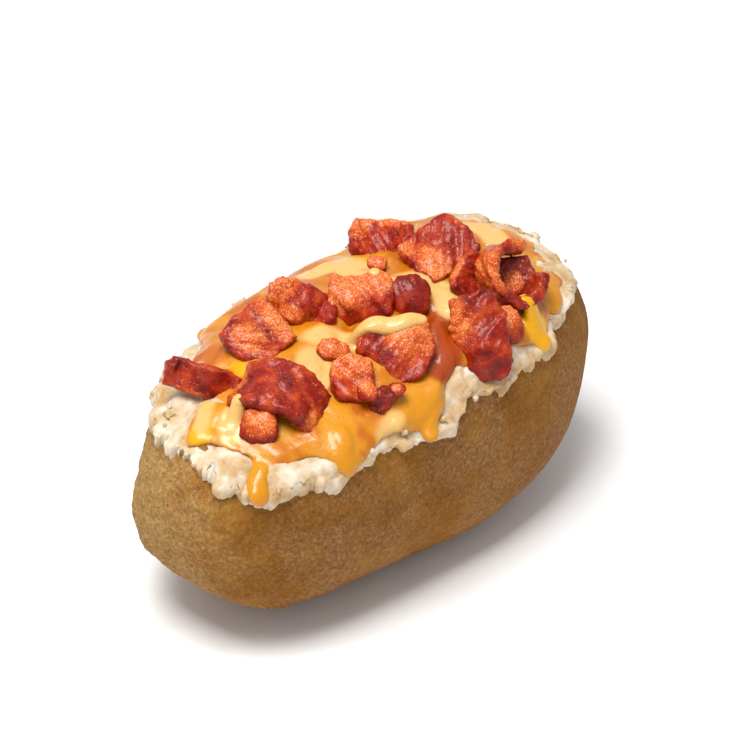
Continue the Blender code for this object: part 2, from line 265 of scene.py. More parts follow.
def potato_point(around, up, grow=0.0):
    """The skin's surface in a direction given by two angles, moved outwards by grow."""
    around, up, grow = np.broadcast_arrays(around, up, grow)
    x = np.cos(up) * np.cos(around)
    y = np.cos(up) * np.sin(around)
    z = np.sin(up)
    reach = (np.abs(x) ** BLUNT + np.abs(y) ** BLUNT + np.abs(z) ** BLUNT) ** (-1 / BLUNT)
    along = x * reach
    point = np.stack([
        (LENGTH / 2 + grow) * along,
        (WIDTH / 2 + grow) * y * reach * (1 + WIDER * along) + BOW * (1 - along * along),
        HEIGHT / 2 + (HEIGHT / 2 + grow) * z * reach * (1 + TALLER * along) + TILT_UP * along,
    ], -1)
    for bulge in BULGES:
        away = np.linalg.norm(point - np.array(bulge[:3]) * MM, axis=-1) / (bulge.reach * MM)
        out = point - MIDDLE
        out /= np.linalg.norm(out, axis=-1, keepdims=True)
        point = point + out * (bulge.rise * MM * np.exp(-away * away))[..., None]
    point[..., 2] = np.maximum(point[..., 2] - REST_CUT, -grow)
    return point + SHIFT


def lobed(around, lobes):
    """The sum of the lobes of an edge (direction, rise and half-width in degrees), in radians."""
    total = np.zeros_like(around)
    for at, rise, width in lobes:
        apart = np.degrees(np.angle(np.exp(1j * (around - math.radians(at)))))
        total += rise * np.exp(-((apart / width) ** 2))
    return np.radians(total)


def wobble(values, seed, *, octaves=4, base=1.0):
    """A smooth irregular curve of about unit height, from a few sines of seeded phase."""
    random = np.random.default_rng(seed)
    total = np.zeros_like(np.asarray(values, float))
    for octave in range(octaves):
        for _ in range(2):
            pitch = base * 2 ** octave * random.uniform(0.8, 1.25)
            total += np.sin(values * pitch + random.uniform(0, math.tau)) * 0.62 ** octave
    return total / 2


FLESH_EDGE = math.radians(30.0)
FLESH_EDGE_HIGHER_AT_ENDS = math.radians(5.0)
FLESH_LOBES = ((-145, -6, 18), (-110, 4, 4), (-83, 5, 10), (-52, 3, 12), (100, 5, 10), (60, 4, 6))
OVERHANG = 1.7 * MM
MOUND = 0.6


def flesh_edge(around):
    """How high the lower edge of the flesh is in one direction."""
    return FLESH_EDGE + FLESH_EDGE_HIGHER_AT_ENDS * np.cos(2 * around) + lobed(around, FLESH_LOBES)


def mound_point(around, up, grow=0.0):
    """The outer surface of the fluffed flesh, above its edge."""
    point = potato_point(around, up, OVERHANG)
    rim = potato_point(around, flesh_edge(around), OVERHANG)
    point[..., 2] = rim[..., 2] + (point[..., 2] - rim[..., 2]) * MOUND
    out = point - SHIFT - MIDDLE
    out /= np.linalg.norm(out, axis=-1, keepdims=True)
    return point + out * np.asarray(grow)[..., None] if np.ndim(grow) else point + out * grow


top_of_skin = potato_point(0.0, math.radians(90.0))
print("uncut potato stands", round(float(top_of_skin[2]) * 1000, 1), "mm high")

# %% [markdown]
# ## Baked russet skin
# Russet skin is dry, matt and brown, a little corky, with dark specks where the sprouting
# eyes and pores are. Baking shrinks the flesh, so the skin goes slack in shallow dents and
# wrinkles. The shell is laid out ring by ring from the potato's oval, outside up to the
# lip and inside down again, and a Geometry Nodes tree then dents and wrinkles it, because
# noise on a surface is a rule that nodes follow fast and evenly.

# %% Skin shell
SKIN_THICK = 2.8 * MM
SKIN_COLUMNS = 460
SKIN_ROWS = 190
SKIN_INSIDE_ROWS = 12
BOTTOM = math.radians(-89.4)
LIP_ABOVE_FLESH_EDGE = math.radians(4.0)


def closed_body(name, rings, material):
    """A closed body from rings of points, with a pole at each end."""
    rows, columns = rings.shape[:2]
    points = np.concatenate([rings.reshape(-1, 3), rings[0].mean(0)[None], rings[-1].mean(0)[None]])
    first, last = rows * columns, rows * columns + 1
    ahead = (np.arange(columns) + 1) % columns
    faces = [tuple(quad) for quad in grid_faces(rows, columns)]
    faces += [(first, int(b), a) for a, b in enumerate(ahead)]
    faces += [(last, (rows - 1) * columns + a, (rows - 1) * columns + int(b)) for a, b in enumerate(ahead)]
    return add_mesh(name, points, faces, material)


def ring_angles(columns):
    """The directions of one ring's points."""
    return np.linspace(-math.pi, math.pi, columns, endpoint=False)


around = ring_angles(SKIN_COLUMNS)
lip = flesh_edge(around) + LIP_ABOVE_FLESH_EDGE
rings = [potato_point(around, BOTTOM + share * (lip - BOTTOM)) for share in np.linspace(0, 1, SKIN_ROWS)]
for share in np.linspace(0.15, 0.85, 5):
    rings.append(potato_point(around, lip + math.radians(0.5) * math.sin(share * math.pi), -SKIN_THICK * share))
for share in np.linspace(1, 0, SKIN_INSIDE_ROWS):
    rings.append(potato_point(around, BOTTOM + share * (lip - BOTTOM), -SKIN_THICK))

# %% Nodes that shape a surface
def maths(tree, operation, a, b=0.0, c=0.0):
    """The result socket of one sum."""
    node = add_node(tree, "ShaderNodeMath", {"operation": operation}, _0=a, _1=b, _2=c)
    return node.outputs[0]


def noise_layer(tree, place, size, height, detail=2.0, rough=0.5):
    """Noise of a real size, running from minus to plus half of a real height."""
    scale = maths(tree, "DIVIDE", 1.0, size)
    noise = add_node(tree, "ShaderNodeTexNoise", {"noise_dimensions": "3D"}, Vector=place, Scale=scale,
                     Detail=detail, Roughness=rough)
    centred = maths(tree, "SUBTRACT", noise.outputs[0], 0.5)
    return maths(tree, "MULTIPLY", centred, height)


def cells(tree, place, size, height):
    """Rounded cells with creases between them: high in each cell's middle."""
    scale = maths(tree, "DIVIDE", 1.0, size)
    voronoi = add_node(tree, "ShaderNodeTexVoronoi", None, Vector=place, Scale=scale)
    squared = maths(tree, "MULTIPLY", voronoi.outputs["Distance"], voronoi.outputs["Distance"])
    rounded = maths(tree, "MAXIMUM", maths(tree, "SUBTRACT", 0.35, squared), -0.12)
    return maths(tree, "MULTIPLY", rounded, height)


def push_out(tree, geometry, height):
    """Move every point along its normal by a height."""
    normal = tree.nodes.new("GeometryNodeInputNormal").outputs[0]
    offset = add_node(tree, "ShaderNodeVectorMath", {"operation": "SCALE"}, Vector=normal, Scale=height)
    return add_node(tree, "GeometryNodeSetPosition", Geometry=geometry, Offset=offset.outputs[0]).outputs[0]


def close_tree(tree, geometry, finish):
    """End a tree: smooth shading, real geometry and the piece's material."""
    shaded = add_node(tree, "GeometryNodeSetShadeSmooth", Geometry=geometry).outputs[0]
    real = add_node(tree, "GeometryNodeRealizeInstances", Geometry=shaded).outputs[0]
    out = next(node for node in tree.nodes if node.bl_idname == "NodeGroupOutput")
    tree.links.new(add_node(tree, "GeometryNodeSetMaterial", Geometry=real, Material=finish).outputs[0],
                   out.inputs[0])


# %% Skin finish
def shader_noise(tree, place, size, detail=3.0, rough=0.6, distort=0.0):
    """Noise of a real size, from 0 to 1."""
    return add_node(tree, "ShaderNodeTexNoise", None, Vector=place, Scale=1 / size, Detail=detail,
                    Roughness=rough, Distortion=distort).outputs["Fac"]


def shader_ramp(tree, value, *stops):
    """A colour ramp from (place, hex colour) stops."""
    node = tree.nodes.new("ShaderNodeValToRGB")
    ramp = node.color_ramp
    while len(ramp.elements) < len(stops):
        ramp.elements.new(0.5)
    for element, (at, colour) in zip(ramp.elements, stops):
        element.position = at
        element.color = linear(colour)
    tree.links.new(value, node.inputs["Fac"])
    return node.outputs["Color"]


def smooth_step(tree, value, low, high):
    """A share that runs softly from 0 at low to 1 at high."""
    return add_node(tree, "ShaderNodeMapRange", {"interpolation_type": "SMOOTHSTEP"}, Value=value,
                    From_Min=low, From_Max=high).outputs["Result"]


def mix_colours(tree, share, a, b, mode="MIX"):
    """Two colours mixed by a share."""
    node = add_node(tree, "ShaderNodeMix", {"data_type": "RGBA", "blend_type": mode}, _0=share, _6=a, _7=b)
    return node.outputs[2]


def bump_of(tree, height, distance, strength=1.0, normal=None):
    """A bump of a real depth from a height between 0 and 1."""
    node = add_node(tree, "ShaderNodeBump", None, Height=height, Distance=distance, Strength=strength)
    if normal:
        tree.links.new(normal, node.inputs["Normal"])
    return node.outputs["Normal"]


# Dry corky skin: warm brown blotches under a fine grain, dark pores, and a pale dusty bloom
# at the narrow end, which shrank and cracked most. That pale end is also painted light: it is
# laid on the end that faces the lamp, so that this end reads lighter.
skin_material, tree, shader = new_material("baked_russet_skin")
place = tree.nodes.new("ShaderNodeTexCoord").outputs["Object"]
towards_lit_end = add_node(tree, "ShaderNodeVectorMath", {"operation": "DOT_PRODUCT"}, _0=place,
                  _1=(0.8, -0.6, 0.0)).outputs["Value"]
blotches = shader_noise(tree, place, 14 * MM, 5.0, 0.65)
grain = shader_noise(tree, place, 0.9 * MM, 4.0, 0.75)
base = shader_ramp(tree, blotches, (0.28, "#6d3f12"), (0.5, "#8e5c1e"), (0.7, "#aa7c34"))
grain_colour = shader_ramp(tree, grain, (0.32, "#5a320c"), (0.52, "#8c5a1e"), (0.74, "#bf9452"))
base = mix_colours(tree, 0.42, base, grain_colour)
greyer = smooth_step(tree, shader_noise(tree, place, 24 * MM, 4.0, 0.6, 0.5), 0.42, 0.62)
grey_brown = shader_ramp(tree, grain, (0.32, "#6a4325"), (0.5, "#8c623a"), (0.7, "#b08a60"))
base = mix_colours(tree, maths(tree, "MULTIPLY", greyer, 0.7), base, grey_brown)
# Painted light: the end turned towards the lamp is painted paler, over its dry, dusty bloom.
dusty_and_lit_end = shader_ramp(tree, grain, (0.3, "#8a6430"), (0.5, "#ae8850"), (0.72, "#cfae78"))
ragged = maths(tree, "MULTIPLY", shader_noise(tree, place, 9 * MM, 4.0, 0.65), 30 * MM)
end_share = smooth_step(tree, maths(tree, "ADD", towards_lit_end, ragged), -20 * MM, -42 * MM)
base = mix_colours(tree, maths(tree, "MULTIPLY", end_share, 0.85), base, dusty_and_lit_end)
pores = add_node(tree, "ShaderNodeTexVoronoi", None, Vector=place, Scale=1 / (3.6 * MM), Randomness=1.0)
pore_share = smooth_step(tree, pores.outputs["Distance"], 0.13, 0.05)
sparse = smooth_step(tree, shader_noise(tree, place, 6 * MM, 2.0), 0.48, 0.6)
base = mix_colours(tree, maths(tree, "MULTIPLY", pore_share, sparse), base, linear("#4a2a10"))
tree.links.new(base, shader.inputs["Base Color"])
shader.inputs["Roughness"].default_value = 0.85
shader.inputs["Specular IOR Level"].default_value = 0.15
crackle = shader_noise(tree, place, 3.4 * MM, 6.0, 0.68, 0.6)
crackle_strength = maths(tree, "MULTIPLY_ADD", end_share, 0.7, 0.28)
normal = bump_of(tree, crackle, 1.8 * MM, crackle_strength)
normal = bump_of(tree, grain, 0.3 * MM, 0.8, normal)
tree.links.new(normal, shader.inputs["Normal"])

# %% Dents, wrinkles and pits
skin_tree, tree_in, tree_out = new_tree(
    "dents_and_wrinkles", DentSize=24 * MM, DentDepth=1.1 * MM, WrinkleSize=5 * MM,
    WrinkleDepth=0.4 * MM, PitSize=1.5 * MM, PitDepth=0.3 * MM, EndDepth=2.0 * MM)
place = skin_tree.nodes.new("GeometryNodeInputPosition").outputs[0]
along_x = add_node(skin_tree, "ShaderNodeSeparateXYZ", None, Vector=place).outputs[0]
end_share = add_node(skin_tree, "ShaderNodeMapRange", {"interpolation_type": "SMOOTHSTEP"}, Value=along_x,
                     From_Min=-30 * MM, From_Max=-48 * MM).outputs[0]
dents = noise_layer(skin_tree, place, tree_in.outputs["DentSize"], tree_in.outputs["DentDepth"], 1.0)
wrinkles = noise_layer(skin_tree, place, tree_in.outputs["WrinkleSize"], tree_in.outputs["WrinkleDepth"], 3.0, 0.6)
pits = noise_layer(skin_tree, place, tree_in.outputs["PitSize"], tree_in.outputs["PitDepth"], 3.0, 0.7)
crinkle = noise_layer(skin_tree, place, 5 * MM, tree_in.outputs["EndDepth"], 3.0, 0.6)
crinkle = maths(skin_tree, "MULTIPLY", crinkle, end_share)
relief = maths(skin_tree, "ADD", maths(skin_tree, "ADD", dents, wrinkles), maths(skin_tree, "ADD", pits, crinkle))
close_tree(skin_tree, push_out(skin_tree, tree_in.outputs[0], relief), skin_material)

skin = closed_body("potato_skin", np.array(rings), skin_material)
run_tree(skin, skin_tree)
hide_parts("potato_jacket")
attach(skin, "root")
print("skin:", len(skin.data.polygons), "faces")

# %% [markdown]
# ## Fluffed flesh
# A fork breaks the cooked flesh into soft masses that stand up out of the skin and hang a
# little over its lip. The mound is laid out in rings, as the skin was, with a toothed lower
# edge. A tree of nodes swells it into big soft lumps and breaks their surface up, as steam
# leaves cooked potato mealy. Loose crumbs are then scattered over the part that stays bare,
# so that the edge is ragged in silhouette too.

# %% Flesh mound
FLESH_COLUMNS = 720
FLESH_ROWS = 100
FLESH_INSIDE_ROWS = 8
TEETH = 2.2             # degrees
around = ring_angles(FLESH_COLUMNS)
plain_edge = flesh_edge(around)
teeth = np.radians(TEETH) * wobble(around * 20, 31, octaves=4)
edge = plain_edge + teeth
rings = []
for share in np.linspace(0, 1, FLESH_INSIDE_ROWS):
    rings.append(potato_point(around, BOTTOM + share * (plain_edge - math.radians(7) - BOTTOM), -3.4 * MM))
for down, grow in ((5.0, -3.0), (4.0, -1.8), (3.2, -0.6), (2.4, 0.3), (1.7, 0.9), (1.1, 1.4), (0.5, 1.7)):
    rings.append(potato_point(around, edge - math.radians(down), grow * MM))
for share in np.linspace(0, 1, FLESH_ROWS) ** 1.35:
    top_share = min(1.0, share * 6)
    rim = edge * (1 - top_share) + plain_edge * top_share
    under_sauce = min(1.0, max(0.0, share - 0.5) * 5)
    rings.append(mound_point(around, rim + share * (math.radians(89.6) - rim), -0.7 * MM * under_sauce))

# %% Flesh finish
# Cooked potato: creamy white, mealy, and lit from within, so that its shaded side stays warm.
flesh_material, tree, shader = new_material("fluffed_cooked_potato")
place = tree.nodes.new("ShaderNodeTexCoord").outputs["Object"]
tint = shader_noise(tree, place, 5 * MM, 4.0, 0.6)
colour = shader_ramp(tree, tint, (0.3, "#b68d52"), (0.47, "#c8ad88"), (0.64, "#dbcdba"))
tree.links.new(colour, shader.inputs["Base Color"])
shader.inputs["Roughness"].default_value = 0.6
shader.inputs["Specular IOR Level"].default_value = 0.35
shader.inputs["Subsurface Weight"].default_value = 0.35
shader.inputs["Subsurface Radius"].default_value = (1.0, 0.62, 0.36)
shader.inputs["Subsurface Scale"].default_value = 2.4 * MM
mealy = shader_noise(tree, place, 0.7 * MM, 3.0, 0.7)
tree.links.new(bump_of(tree, mealy, 0.15 * MM, 0.7), shader.inputs["Normal"])

# %% Lumps and mealy surface
flesh_tree, tree_in, tree_out = new_tree(
    "fluffed_lumps", LumpSize=10 * MM, LumpHeight=4.2 * MM, CrumbSize=3.6 * MM, CrumbHeight=1.1 * MM,
    GrainSize=1.3 * MM, GrainHeight=0.6 * MM)
place = flesh_tree.nodes.new("GeometryNodeInputPosition").outputs[0]
warp = add_node(flesh_tree, "ShaderNodeTexNoise", None, Vector=place, Scale=1 / (6 * MM), Detail=3.0)
warp = add_node(flesh_tree, "ShaderNodeVectorMath", {"operation": "SCALE"}, Vector=warp.outputs["Color"],
                Scale=5.0 * MM)
place = add_node(flesh_tree, "ShaderNodeVectorMath", {"operation": "ADD"}, _0=place, _1=warp.outputs[0]).outputs[0]
lumps = cells(flesh_tree, place, tree_in.outputs["LumpSize"], tree_in.outputs["LumpHeight"])
crumbs = cells(flesh_tree, place, tree_in.outputs["CrumbSize"], tree_in.outputs["CrumbHeight"])
grains = noise_layer(flesh_tree, place, tree_in.outputs["GrainSize"], tree_in.outputs["GrainHeight"], 3.0, 0.65)
relief = maths(flesh_tree, "ADD", maths(flesh_tree, "ADD", lumps, crumbs), grains)
close_tree(flesh_tree, push_out(flesh_tree, tree_in.outputs[0], relief), flesh_material)

flesh = closed_body("fluffed_potato", np.array(rings), flesh_material)
run_tree(flesh, flesh_tree)
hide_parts("fluffed_flesh")
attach(flesh, "root")
print("flesh:", len(flesh.data.polygons), "faces")

# %% Loose crumbs of potato
# The crumbs stand on a strip of the mound just above its lower edge. Each is a small rough
# ball, pressed into the surface by half.
crumb_rows = [mound_point(around, plain_edge + math.radians(up), 1.0 * MM) for up in (-1.0, 3.0, 9.0)]
crumb_ground = add_mesh("loose_potato_crumbs", np.array(crumb_rows).reshape(-1, 3), grid_faces(3, FLESH_COLUMNS))
crumb_tree, tree_in, tree_out = new_tree(
    "loose_crumbs", Density=13000.0, Seed=4, SizeMin=0.35, SizeMax=1.1)
grain_ball = add_node(crumb_tree, "GeometryNodeMeshIcoSphere", Radius=1.1 * MM, Subdivisions=2).outputs[0]
ball_place = crumb_tree.nodes.new("GeometryNodeInputPosition").outputs[0]
rough = noise_layer(crumb_tree, ball_place, 0.8 * MM, 3.4 * MM, 2.0, 0.6)
grain_ball = push_out(crumb_tree, grain_ball, rough)
scatter = add_node(crumb_tree, "GeometryNodeDistributePointsOnFaces", Mesh=tree_in.outputs[0],
                   Density=tree_in.outputs["Density"], Seed=tree_in.outputs["Seed"])
any_turn = add_node(crumb_tree, "FunctionNodeRandomValue", {"data_type": "FLOAT_VECTOR"}, _1=(math.tau,) * 3)
any_size = add_node(crumb_tree, "FunctionNodeRandomValue", {"data_type": "FLOAT"},
                    _2=tree_in.outputs["SizeMin"], _3=tree_in.outputs["SizeMax"], Seed=5)
crumbs = add_node(crumb_tree, "GeometryNodeInstanceOnPoints", Points=scatter.outputs[0], Instance=grain_ball,
                  Rotation=any_turn.outputs[0], Scale=any_size.outputs[1])
close_tree(crumb_tree, crumbs.outputs[0], flesh_material)
run_tree(crumb_ground, crumb_tree)
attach(crumb_ground, "root")
print("loose crumbs:", len(crumb_ground.data.polygons), "faces")

# %% [markdown]
# ## Crisp bacon
# A slice of streaky bacon fried crisp and cut up: thin strips that curl and ruffle as the
# fat shrinks, deep red where lean and orange where fat, with blisters that glisten. Each
# piece is a ribbon bent by the same few values as its solid: curl along it, cup across it,
# twist and waves. Python lays the ribbon out, as its two ragged long edges and its streaks
# need values that run with the strip, and a node tree raises the blisters.

# %% Pieces of bacon
Bacon = namedtuple("Bacon", "at turn size curl cup twist wave ends fat cooked")
FLAT = (0, 1, 0)
# Places in millimetres, angles in degrees. fat lists the patches of fat: where each lies
# along and across the piece, and its reach both ways, as shares of the length and width.
# cooked runs from 0, pale, to 1.
BACON = (
    Bacon((22.9, 15.3, 65.2), (-61, 4, 34), (18, 12, 3.0), 115, 10, 20, FLAT, (0.8, 0.8),
          ((-0.42, 0.3, 0.2, 0.4), (0.1, 0.45, 0.6, 0.15)), 0.45),
    Bacon((25.8, -0.8, 68.6), (-91, -21, 19), (14.5, 18, 3.4), -20, 20, 0, (0.3, 1, 0), (0.95, 0.95),
          ((0.2, -0.25, 0.4, 0.2), (-0.35, -0.45, 0.2, 0.2)), 0.5),
    Bacon((24.6, -11.7, 66.5), (19, 27, 44), (13, 8, 3.0), 30, 0, 0, FLAT, (0.85, 0.85),
          ((0.0, 0.5, 0.5, 0.1),), 0.85),
    Bacon((30.8, -19.1, 66.3), (100, 47, 74), (38, 10, 2.8), 305, 12, 0, FLAT, (0.8, 0.6),
          ((0.12, 0.0, 0.17, 0.8), (0.47, 0.0, 0.12, 0.8)), 0.7),
    Bacon((13.2, -26.1, 61.5), (-114, -49, 25), (22, 13.5, 4.0), -45, -75, 10, (0.6, 1.5, 0), (0.8, 0.6),
          ((-0.22, -0.3, 0.25, 0.25),), 0.6),
    Bacon((23, -25.7, 59.5), (-95, -45, 32), (9, 7, 4.0), -60, -60, 0, FLAT, (0.7, 0.7),
          ((-0.35, 0.0, 0.5, 0.8),), 0.55),
    Bacon((-10.9, 9.6, 65.2), (-69, -20, 39), (17.5, 10.5, 4.0), -30, -60, 10, (1.2, 2, 90), (0.75, 0.8),
          ((-0.35, 0.0, 0.25, 0.6), (0.1, -0.3, 0.25, 0.2)), 0.5),
    Bacon((0.5, 0.8, 65.5), (-44, 2, 43), (16, 13, 4.0), 0, -120, 0, FLAT, (0.92, 0.92),
          ((-0.25, 0.2, 0.4, 0.4), (0.2, 0.3, 0.4, 0.25)), 0.2),
    Bacon((9.4, -6.1, 65.2), (-60, -15, 46), (10, 10, 4.5), -80, -90, 0, FLAT, (0.75, 0.75),
          ((-0.5, 0.0, 0.15, 0.5),), 0.9),
    Bacon((-26.3, 8.7, 64.6), (-10, 25, 31), (14.5, 14.5, 3.6), -20, -20, 10, (0.5, 1, 0), (0.95, 0.95),
          ((-0.12, 0.05, 0.25, 0.3), (0.42, -0.1, 0.22, 0.7)), 0.45),
    Bacon((-43.9, 8.2, 61.4), (-55, -14, 57), (18.5, 8, 3.0), 20, 10, -15, (1.3, 1.4, 90), (0.95, 0.8),
          ((-0.2, -0.5, 0.5, 0.15),), 0.8),
    Bacon((-36, -8.1, 61.6), (-66, -6, 16), (28, 14.5, 3.2), -160, 10, 0, FLAT, (0.9, 0.85),
          ((-0.42, 0.1, 0.13, 0.5), (0.36, -0.3, 0.07, 0.3)), 0.7),
    Bacon((-44.4, -10.3, 58.2), (-52, -8, 53), (9, 8, 4.0), -40, -70, 0, FLAT, (0.7, 0.7),
          ((0.0, 0.1, 0.4, 0.4),), 0.4),
    Bacon((-6.1, -17.2, 62.8), (62, 40, -12), (16.5, 17.5, 3.6), -15, -50, 0, FLAT, (0.35, 1.0),
          ((0.2, -0.2, 0.35, 0.32),), 0.55),
    Bacon((-19.9, -15.9, 60.8), (-46, 0, 31), (10.5, 12, 5.5), -20, -25, 0, FLAT, (0.85, 0.85),
          ((0.0, 0.4, 0.7, 0.4), (0.3, -0.25, 0.25, 0.25)), 0.35),
    Bacon((-18.7, -24.1, 58.9), (6, 41, 38), (7.5, 5, 3.6), 30, -40, 0, FLAT, (0.8, 0.8),
          ((0.0, 0.5, 0.3, 0.1),), 1.0),
    Bacon((-15.8, -5.9, 62.4), (-57, -10, 42), (8, 5.5, 3.4), -30, -40, 0, FLAT, (0.75, 0.75),
          ((0.0, 0.1, 0.5, 0.4),), 0.2),
)
BACON_STEP = 0.36       # millimetres between points
BACON_TAPER = 2.5
RAGGED = 0.05           # how ragged the long edges are, as a share of the width
RUFFLE = 0.25           # millimetres
BACON_RIM = 0.9         # how far in from its edge a piece 3 mm thick is at its full thickness
BIG_CORNER = 0.14       # how far the corners of a strip are rounded off
SMALL_CORNER = 0.3     # the same for a broken bit


def bend(piece, along, across):
    """Where a point of the strip's middle sheet comes to lie, in millimetres."""
    curl, cup = math.radians(piece.curl), math.radians(piece.cup)
    length, width = piece.size[0], piece.size[1]
    side, height = across, np.zeros_like(across)
    if cup:
        side = width / cup * np.sin(across * cup / width)
        height = width / cup * (1 - np.cos(across * cup / width))
    twist = math.radians(piece.twist) * along
    side, height = (side * np.cos(twist) - height * np.sin(twist),
                    side * np.sin(twist) + height * np.cos(twist))
    wave_high, wave_count, wave_phase = piece.wave
    height = height + wave_high * np.sin(math.tau * wave_count * along + math.radians(wave_phase))
    forward, rise = along * length, np.zeros_like(along)
    if curl:
        forward = length / curl * np.sin(curl * along)
        rise = length / curl * (1 - np.cos(curl * along))
    return np.stack([forward - height * np.sin(curl * along), side, rise + height * np.cos(curl * along)], -1)


def bacon_points(piece, number):
    """The two sides of one ragged, ruffled strip, and what its surface is made of."""
    length, width, thick = piece.size
    rows, columns = round(length / BACON_STEP), round(width / BACON_STEP)
    along, v = np.meshgrid(np.linspace(-0.5, 0.5, rows), np.linspace(-0.5, 0.5, columns), indexing="ij")
    end = np.where(along < 0, piece.ends[0], piece.ends[1])
    taper = 1 - (1 - end) * np.abs(2 * along) ** BACON_TAPER
    left = 1 + RAGGED * wobble(along[:, :1] * length, number * 10 + 1, base=0.5)
    right = 1 + RAGGED * wobble(along[:, :1] * length, number * 10 + 2, base=0.5)
    from_edge = np.minimum((0.5 - np.abs(v)) * width * taper, (0.5 - np.abs(along)) * length)
    corner = SMALL_CORNER if length < 12 else BIG_CORNER
    across = v * width * taper * np.where(v < 0, left, right) * np.sqrt(1 - corner * (2 * along) ** 2)
    reach = 1 + RAGGED * 0.7 * wobble(v * width, number * 10 + 3, base=0.6)
    along = along * reach * np.sqrt(1 - corner * (2 * v) ** 2)
    sheet = bend(piece, along, across)
    centre = bend(piece, *np.meshgrid(np.linspace(-.5, .5, 21), np.linspace(-.5, .5, 21) * width)).mean((0, 1))
    sheet = sheet - centre
    normal = np.cross(np.gradient(sheet, axis=0), np.gradient(sheet, axis=1))
    normal /= np.linalg.norm(normal, axis=-1, keepdims=True)
    ruffle = wobble(along * length + 1.7 * np.sin(across * 0.5), number * 10 + 4, octaves=3, base=0.55)
    ruffle = ruffle * RUFFLE * (0.3 + 1.4 * np.abs(2 * v) ** 1.5)
    sheet = sheet + normal * ruffle[..., None]
    rounded = np.clip(from_edge / (BACON_RIM + 0.3 * (thick - 3)), 0, 1)
    half = thick / 2 * np.sqrt(np.clip(1 - (1 - rounded) ** 2, 0, 1))
    half = half * (1.05 + 0.2 * wobble(along * length + across, number * 10 + 5, base=0.45))
    fatty = np.zeros_like(across)
    for u, w, reach_along, reach_across in piece.fat:
        away = np.hypot((along - u) / reach_along, (across / width - w) / reach_across)
        fatty = np.maximum(fatty, np.clip(1 - away * away / 1.6, 0, 1))
    return sheet, normal, half, fatty


def bacon_strip(piece, number, material):
    """One strip as a closed mesh with its fat as an attribute."""
    sheet, normal, half, fatty = bacon_points(piece, number)
    rows, columns = half.shape
    upper = (sheet + normal * half[..., None]).reshape(-1, 3)
    lower = (sheet - normal * half[..., None]).reshape(-1, 3)
    heading, rise, roll = (math.radians(angle) for angle in piece.turn)
    turn = np.array(Euler((roll, -rise, heading), "XYZ").to_matrix())
    points = np.concatenate([upper, lower]) @ turn.T
    points = (points + np.array(piece.at)) * MM + SHIFT
    quads = grid_faces(rows, columns, around=False)
    faces = [tuple(q) for q in quads] + [tuple(q[::-1] + rows * columns) for q in quads]
    strip = add_mesh(f"bacon_strip_{number:02d}", points, faces, material)
    marks = strip.data.attributes.new("fatty", "FLOAT", "POINT")
    marks.data.foreach_set("value", np.concatenate([fatty.ravel(), fatty.ravel()]))
    cooked = strip.data.attributes.new("cooked", "FLOAT", "POINT")
    cooked.data.foreach_set("value", np.full(2 * rows * columns, piece.cooked))
    shape = bmesh.new()
    shape.from_mesh(strip.data)
    bmesh.ops.remove_doubles(shape, verts=shape.verts, dist=0.002 * MM)
    bmesh.ops.recalc_face_normals(shape, faces=shape.faces)
    shape.to_mesh(strip.data)
    shape.free()
    return strip


# %% Bacon finish
# Fried lean: deep glossy red that light still enters at thin edges, with painted shade that
# darkens the faces turning away from the light. Fried fat: orange, with a foam of tiny pale
# bubbles; fat and foam are painted paler and denser on faces turned up to the light, as a
# painted highlight.
bacon_material, tree, shader = new_material("crisp_fried_bacon")
place = tree.nodes.new("ShaderNodeTexCoord").outputs["Object"]
fatty = add_node(tree, "ShaderNodeAttribute", {"attribute_name": "fatty"}).outputs["Fac"]
cooked = add_node(tree, "ShaderNodeAttribute", {"attribute_name": "cooked"}).outputs["Fac"]
lean_noise = shader_noise(tree, place, 4 * MM, 3.0, 0.6)
lean = shader_ramp(tree, lean_noise, (0.32, "#7a0b02"), (0.5, "#a92606"), (0.68, "#cf5a1c"))
cooked_and_shaded_lean = shader_ramp(tree, lean_noise, (0.3, "#540401"), (0.5, "#7d0c02"), (0.7, "#9e2206"))
facing_up = add_node(tree, "ShaderNodeSeparateXYZ", None,
                     Vector=tree.nodes.new("ShaderNodeNewGeometry").outputs["Normal"]).outputs[2]
# Painted shade: faces turned up to the light keep the bright lean, and faces turned sideways or down are painted
# darker red. The same dark red also marks the more cooked pieces.
lit_top = smooth_step(tree, facing_up, 0.1, 0.75)
painted_side_shade = maths(tree, "MULTIPLY", maths(tree, "SUBTRACT", 1.0, lit_top), 0.75)
lean = mix_colours(tree, maths(tree, "MAXIMUM", maths(tree, "MULTIPLY", cooked, 0.8), painted_side_shade), lean, cooked_and_shaded_lean)
orange = shader_ramp(tree, shader_noise(tree, place, 2.2 * MM, 3.0, 0.6), (0.3, "#b93607"), (0.55, "#c95612"), (0.75, "#d67c34"))
torn = maths(tree, "MULTIPLY_ADD", shader_noise(tree, place, 2.4 * MM, 3.0, 0.65), 0.9, -0.45)
# Painted light: fat shows paler on faces turned up to the light and fades into the lean on faces turned away.
fatty = maths(tree, "MULTIPLY", fatty, maths(tree, "MULTIPLY_ADD", lit_top, 0.5, 0.5))
fat_share = maths(tree, "ADD", fatty, torn)
colour = mix_colours(tree, smooth_step(tree, fat_share, 0.05, 0.75), lean, orange)
